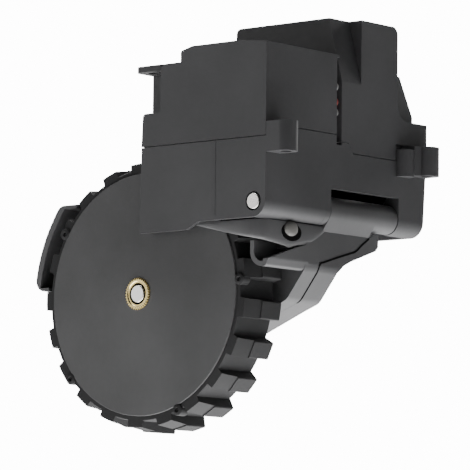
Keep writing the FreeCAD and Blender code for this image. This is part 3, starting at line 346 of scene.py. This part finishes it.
def shoulder():
    """Curved flange of the arm that closes the gap under the housing's sill."""
    columns = []
    for here, (across, inboard, low) in enumerate(SHOULDER_PATH):
        before = SHOULDER_PATH[max(here - 1, 0)]
        after = SHOULDER_PATH[min(here + 1, len(SHOULDER_PATH) - 1)]
        along = Vector((after[0] - before[0], after[1] - before[1])).normalized()
        inward = (-along.y, along.x)
        outer = [(across + inward[0] * tuck, inboard + inward[1] * tuck,
                  SHOULDER_TOP + (low - SHOULDER_TOP) * share)
                 for share, tuck in SHOULDER_LEVELS]
        inner = [(across + inward[0] * SHOULDER_WALL, inboard + inward[1] * SHOULDER_WALL, up)
                 for up in (low, SHOULDER_TOP)]
        columns.append(outer + inner)
    count = len(columns[0])
    points = [point for column in columns for point in column]
    faces = [(c * count + k, c * count + (k + 1) % count,
              (c + 1) * count + (k + 1) % count, (c + 1) * count + k)
             for c in range(len(columns) - 1) for k in range(count)]
    faces.append(tuple(range(count)))
    faces.append(tuple(range((len(columns) - 1) * count, len(columns) * count)))
    return points, faces


def stub(centre, rings, count=40):
    """Oval rings that stand out along X from a centre: reach along Y, reach up, and height."""
    out, inboard, up = centre
    points = [(out + height, inboard + wide * math.cos(2 * math.pi * k / count),
               up + tall * math.sin(2 * math.pi * k / count))
              for wide, tall, height in rings for k in range(count)]
    faces = [(r * count + k, r * count + (k + 1) % count,
              (r + 1) * count + (k + 1) % count, (r + 1) * count + k)
             for r in range(len(rings) - 1) for k in range(count)]
    return points, faces


# The stub's recess is a flat black oval just proud of the arm: painted shade round the stub head.
RECESS_SHADE_CENTRE = (42.72, 11.2, 14.6)
RECESS_SHADE_RINGS = [(0.02, 0.02, 0.06), (3.9, 2.3, 0.06), (4.05, 2.4, -0.1)]
HEAD_CENTRE = (42.74, 10.8, 15.4)
HEAD_RINGS = [(0.02, 0.02, 0.95), (1.2, 0.9, 0.9), (2.0, 1.5, 0.72), (2.5, 1.85, 0.4),
              (2.6, 1.95, 0.0)]
piece_from("arm_shoulder", *shoulder(), MATERIALS["arm_plastic"], "arm", "arm_plastic")
piece_from("stub_recess_shade", *stub(RECESS_SHADE_CENTRE, RECESS_SHADE_RINGS), PAINTED_SHADE, "arm", "arm_plastic")
piece_from("stub_head", *stub(HEAD_CENTRE, HEAD_RINGS), STUB, "arm", "steel")


def plate(low, high):
    """Points and faces of a flat plate between two corners."""
    points = [(x, y, z) for x in (low[0], high[0]) for y in (low[1], high[1])
              for z in (low[2], high[2])]
    faces = [(0, 1, 3, 2), (4, 6, 7, 5), (0, 4, 5, 1), (2, 3, 7, 6), (0, 2, 6, 4), (1, 5, 7, 3)]
    return points, faces


SHIELD_CORNERS = ((37.0, 32.0, 24.5), (37.4, 61.5, 30.0))
FRONT_LIP_CORNERS = ((3.9, -1.22, 36.4), (43.4, -0.82, 39.8))
END_LIP_CORNERS = ((43.44, -1.18, 39.6), (43.84, 25.5, 42.8))
FOLD_CORNERS = ((28.55, -3.07, 18.4), (28.85, -2.9, 38.0))
# The hinge shield is a black plate inside the window: painted shade that hides the lit parts
# behind it.
piece_from("hinge_shade_shield", *plate(*SHIELD_CORNERS),
           PAINTED_SHADE, "housing", "housing_plastic", smooth=False)

# Places along the neck's seam, each with the normal of the surface
SEAM_ROUTE = [
    ((34.95, 23.0, -2.50), (0.353, 0, -0.935)), ((35.91, 23.0, -1.975), (0.593, 0, -0.805)),
    ((36.69, 23.0, -1.21), (0.789, 0, -0.614)), ((41.48, 23.0, 4.95), (0.789, 0, -0.614)),
    ((42.10, 23.0, 6.07), (0.943, 0, -0.334)), ((42.30, 23.15, 7.0), (1, 0, 0)),
    ((42.32, 23.7, 7.6), (1, 0, 0)), ((42.33, 25.0, 7.95), (1, 0, 0)),
    ((42.36, 29.0, 9.2), (1, 0, 0)), ((42.41, 37.6, 11.65), (1, 0, 0)),
    ((42.42, 38.8, 12.35), (1, 0, 0)), ((42.44, 40.2, 13.5), (1, 0, 0)),
    ((42.48, 43.6, 15.75), (1, 0, 0)),
]
SEAM_HALF_WIDTH = 0.26
SEAM_LIFT = 0.07
SEAM_SINK = -0.15


def ribbon(route, half_width, lift, sink):
    """Points and faces of a flat ribbon that lies on a surface along places with normals."""
    points = []
    for here, (place, normal) in enumerate(route):
        before = Vector(route[max(here - 1, 0)][0])
        after = Vector(route[min(here + 1, len(route) - 1)][0])
        normal = Vector(normal)
        side = (after - before).cross(normal).normalized() * half_width
        for across, up in ((-1, sink), (-1, lift), (1, lift), (1, sink)):
            points.append(Vector(place) + side * across + normal * up)
    faces = [(r * 4 + k, r * 4 + (k + 1) % 4, (r + 1) * 4 + (k + 1) % 4, (r + 1) * 4 + k)
             for r in range(len(route) - 1) for k in range(4)]
    faces.append((0, 1, 2, 3))
    faces.append(tuple((len(route) - 1) * 4 + k for k in range(4)))
    return points, faces


piece_from("seam_shadow", *ribbon(SEAM_ROUTE, SEAM_HALF_WIDTH, SEAM_LIFT, SEAM_SINK),
           PAINTED_SHADE, "arm", "arm_plastic", smooth=False)
piece_from("seam_lip", *joined([plate(*FRONT_LIP_CORNERS), plate(*END_LIP_CORNERS)]),
           MATERIALS["housing_plastic"], "housing", "housing_plastic", smooth=False)
piece_from("skirt_fold", *plate(*FOLD_CORNERS),
           MATERIALS["housing_plastic"], "housing", "housing_plastic", smooth=False)


# Stage, lights and camera
FLOOR_LEVEL = -0.95
FLOOR_SIZE = 12.0
FLOOR_GLOW = 0.6


def stage_plane(name, centre, size):
    """Add one level plane of the stage."""
    bpy.ops.mesh.primitive_plane_add(size=size, location=centre)
    plane = bpy.context.object
    plane.name = name
    return plane


pale, _, pale_shader, _ = new_material("pale_stage", (0.86, 0.86, 0.86), 0.9)
floor = stage_plane("floor", (0, 0, FLOOR_LEVEL), FLOOR_SIZE)
floor.data.materials.append(pale)
pale_shader.inputs["Emission Color"].default_value = (1, 1, 1, 1)
pale_shader.inputs["Emission Strength"].default_value = FLOOR_GLOW

# The camera that was fitted to the photograph
AZIMUTH = math.radians(40.403)
PITCH = math.radians(6.157)
ROLL = math.radians(0.589)
FOCAL_PIXELS = 3871.5
FRAME_PIXELS = 470
HUB_PIXEL = (137.98, 293.77)
HUB_DEPTH = 1.01306
SENSOR = 36.0
CLIP_START = 0.05
CLIP_END = 20

BEHIND_CAMERA = (math.sin(AZIMUTH), -math.cos(AZIMUTH), -0.1)
WORLD_LOW = 0.10
WORLD_HIGH = 0.03
WORLD_FRONT = 0.35
RISE_RANGE = (-0.6, 0.9)
FRONT_RANGE = (0.2, 0.95)
BACKDROP = 14.0


def studio_world():
    """Give a white backdrop with soft light, brighter from below and dim from the front."""
    world = bpy.data.worlds.new("studio")
    bpy.context.scene.world = world
    world.use_nodes = True
    tree = world.node_tree
    background = tree.nodes["Background"]
    background.inputs["Color"].default_value = (1, 1, 1, 1)
    way = tree.nodes.new("ShaderNodeTexCoord").outputs["Generated"]

    def along(direction):
        """How far the way looked leans to a direction."""
        node = tree.nodes.new("ShaderNodeVectorMath")
        node.operation = "DOT_PRODUCT"
        tree.links.new(way, node.inputs[0])
        node.inputs[1].default_value = direction
        return node.outputs["Value"]

    def mapped(source, low, high, at_low, at_high):
        """Blend smoothly between two values over a range."""
        node = tree.nodes.new("ShaderNodeMapRange")
        node.interpolation_type = "SMOOTHSTEP"
        node.inputs["From Min"].default_value = low
        node.inputs["From Max"].default_value = high
        node.inputs["To Min"].default_value = at_low
        node.inputs["To Max"].default_value = at_high
        tree.links.new(source, node.inputs["Value"])
        return node.outputs["Result"]

    def product(first, second):
        """Multiply two values."""
        node = tree.nodes.new("ShaderNodeMath")
        node.operation = "MULTIPLY"
        tree.links.new(first, node.inputs[0])
        tree.links.new(second, node.inputs[1])
        return node.outputs["Value"]

    rise = mapped(along((0, 0, 1)), *RISE_RANGE, WORLD_LOW, WORLD_HIGH)
    front = mapped(along(BEHIND_CAMERA), *FRONT_RANGE, 1.0, WORLD_FRONT)
    glow = product(rise, front)
    seen = tree.nodes.new("ShaderNodeLightPath").outputs["Is Camera Ray"]
    mix = tree.nodes.new("ShaderNodeMix")
    mix.data_type = "FLOAT"
    tree.links.new(seen, mix.inputs["Factor"])
    tree.links.new(glow, mix.inputs["A"])
    mix.inputs["B"].default_value = BACKDROP
    tree.links.new(mix.outputs["Result"], background.inputs["Strength"])


def softbox(name, spot, aim, size, power):
    """Add one large soft light aimed at a point."""
    data = bpy.data.lights.new(name, "AREA")
    data.shape = "RECTANGLE"
    data.size, data.size_y = size
    data.energy = power
    light = bpy.data.objects.new(name, data)
    bpy.context.scene.collection.objects.link(light)
    light.location = spot
    light.rotation_euler = (Vector(aim) - Vector(spot)).to_track_quat("-Z", "Y").to_euler()
    light.visible_camera = False


MIDDLE = (-0.04, 0.03, -0.015)
# Name, place, aim, size and power in watts
SOFTBOXES = (
    ("left_box", (-1.0, -0.82, 0.1), MIDDLE, (0.6, 0.8), 2.3),
    ("right_box", (1.25, 0.45, 0.2), MIDDLE, (0.9, 1.2), 1.0),
    ("top_box", (-0.55, 0.35, 1.25), MIDDLE, (1.4, 1.4), 45.0),
    ("back_box", (-0.2, 1.5, 0.35), MIDDLE, (1.2, 1.0), 9.0),
    ("under_box", (-0.03, 0.02, -0.34), (-0.02, 0.02, 0), (0.6, 0.6), 6.6),
)
studio_world()
for row in SOFTBOXES:
    softbox(*row)


def photo_camera():
    """Place the camera that was fitted to the photograph."""
    forward = Vector((-math.sin(AZIMUTH) * math.cos(PITCH),
                      math.cos(AZIMUTH) * math.cos(PITCH), math.sin(PITCH)))
    level_right = Vector((math.cos(AZIMUTH), math.sin(AZIMUTH), 0))
    level_up = level_right.cross(forward)
    right = math.cos(ROLL) * level_right + math.sin(ROLL) * level_up
    up = math.cos(ROLL) * level_up - math.sin(ROLL) * level_right
    half = FRAME_PIXELS / 2
    across = (HUB_PIXEL[0] - half) / FOCAL_PIXELS * HUB_DEPTH
    above = (half - HUB_PIXEL[1]) / FOCAL_PIXELS * HUB_DEPTH
    spot = HUB - right * across - up * above - forward * HUB_DEPTH
    data = bpy.data.cameras.new("photo_camera")
    data.sensor_width = SENSOR
    data.lens = FOCAL_PIXELS / FRAME_PIXELS * SENSOR
    data.clip_start = CLIP_START
    data.clip_end = CLIP_END
    camera = bpy.data.objects.new("photo_camera", data)
    bpy.context.scene.collection.objects.link(camera)
    turn = Matrix((right, up, -forward)).transposed()
    camera.matrix_world = Matrix.Translation(spot) @ turn.to_4x4()
    bpy.context.scene.camera = camera


photo_camera()
